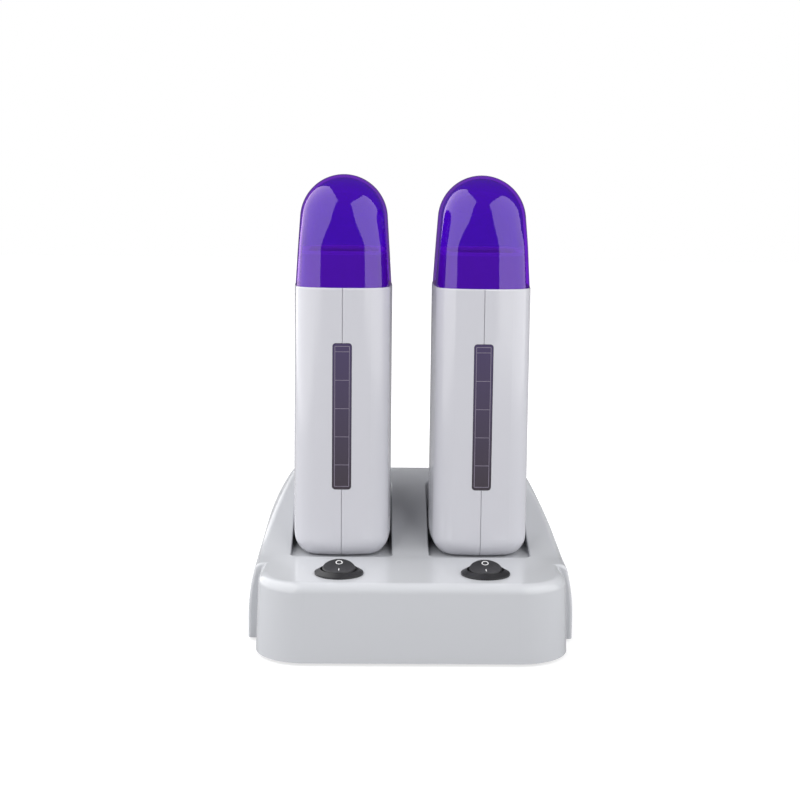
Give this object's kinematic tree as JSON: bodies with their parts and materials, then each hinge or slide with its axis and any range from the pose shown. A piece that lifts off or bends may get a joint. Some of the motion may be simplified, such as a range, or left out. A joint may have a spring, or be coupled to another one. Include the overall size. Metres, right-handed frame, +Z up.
{
  "type": "double roll-on wax heater",
  "caption": "Docking base with rocker switches that holds upright cartridge heater hand units, each with a level window and a domed lift-off cap.",
  "frame": {"origin": "on the table, under the middle of the base", "axes": "+Z up, the front with the switches faces -Y, +X to the right seen from the front"},
  "size_m": [0.157, 0.138, 0.2237],
  "materials": {
    "base_grey": "light grey glossy moulding",
    "plate_grey": "grey, fine matt grain",
    "foot_rubber": "dark matt rubber",
    "steel": "zinc plated",
    "connector_black": "black, satin",
    "brass": "bright contact metal",
    "switch_black": "black, satin",
    "lead_brown": "brown insulation",
    "lead_blue": "blue insulation",
    "shell_white": "white glossy moulding",
    "window_smoke": "smoked clear lens",
    "sleeve_aluminium": "drawn aluminium",
    "ring_white": "heat resistant moulding",
    "heater_film": "amber insulating film",
    "cap_violet": "translucent violet moulding"
  },
  "bodies": {
    "base": {"base_housing": "base_grey", "base_plate": "plate_grey", "base_feet": "foot_rubber", "base_screws": "steel", "mains_inlet": "connector_black", "mains_pins": "brass", "dock_plug_left": "connector_black", "dock_plug_right": "connector_black", "dock_contacts_left": "brass", "dock_contacts_right": "brass", "switch_body_left": "switch_black", "switch_body_right": "switch_black", "switch_terminals_left": "brass", "switch_terminals_right": "brass", "lead_live": "lead_brown", "lead_live_link": "lead_brown", "lead_neutral": "lead_blue", "lead_neutral_link": "lead_blue", "lead_switched_left": "lead_brown", "lead_switched_right": "lead_brown"},
    "left_unit": {"shell_frame_left": "shell_white", "shell_cover_left": "shell_white", "shell_screws_left": "steel", "window_left": "window_smoke", "chamber_left": "sleeve_aluminium", "mouth_ring_left": "ring_white", "heater_left": "heater_film", "heater_clip_left": "steel", "thermal_cutout_left": "heater_film", "unit_inlet_left": "connector_black", "unit_pins_left": "brass", "lead_heater_left": "lead_brown", "lead_cutout_left": "lead_blue", "lead_link_left": "lead_blue"},
    "right_unit": {"shell_frame_right": "shell_white", "shell_cover_right": "shell_white", "shell_screws_right": "steel", "window_right": "window_smoke", "chamber_right": "sleeve_aluminium", "mouth_ring_right": "ring_white", "heater_right": "heater_film", "heater_clip_right": "steel", "thermal_cutout_right": "heater_film", "unit_inlet_right": "connector_black", "unit_pins_right": "brass", "lead_heater_right": "lead_brown", "lead_cutout_right": "lead_blue", "lead_link_right": "lead_blue"},
    "left_cap": {"cap_left": "cap_violet"},
    "right_cap": {"cap_right": "cap_violet"},
    "left_rocker": {"rocker_left": "switch_black"},
    "right_rocker": {"rocker_right": "switch_black"}
  },
  "joints": [
    {"name": "left_unit_lift", "type": "slide", "parent": "base", "child": "left_unit", "axis": [0, 0, 1], "range_m": [0, 0.045]},
    {"name": "right_unit_lift", "type": "slide", "parent": "base", "child": "right_unit", "axis": [0, 0, 1], "range_m": [0, 0.045]},
    {"name": "left_cap_lift", "type": "slide", "parent": "left_unit", "child": "left_cap", "axis": [0, 0, 1], "range_m": [0, 0.04]},
    {"name": "right_cap_lift", "type": "slide", "parent": "right_unit", "child": "right_cap", "axis": [0, 0, 1], "range_m": [0, 0.04]},
    {"name": "left_rocker_tilt", "type": "hinge", "parent": "base", "child": "left_rocker", "pos_m": [-0.0345, -0.0475, 0.0385], "axis": [1, 0, 0], "range_deg": [-22, 0]},
    {"name": "right_rocker_tilt", "type": "hinge", "parent": "base", "child": "right_rocker", "pos_m": [0.0345, -0.0475, 0.0385], "axis": [1, 0, 0], "range_deg": [-22, 0]}
  ]
}
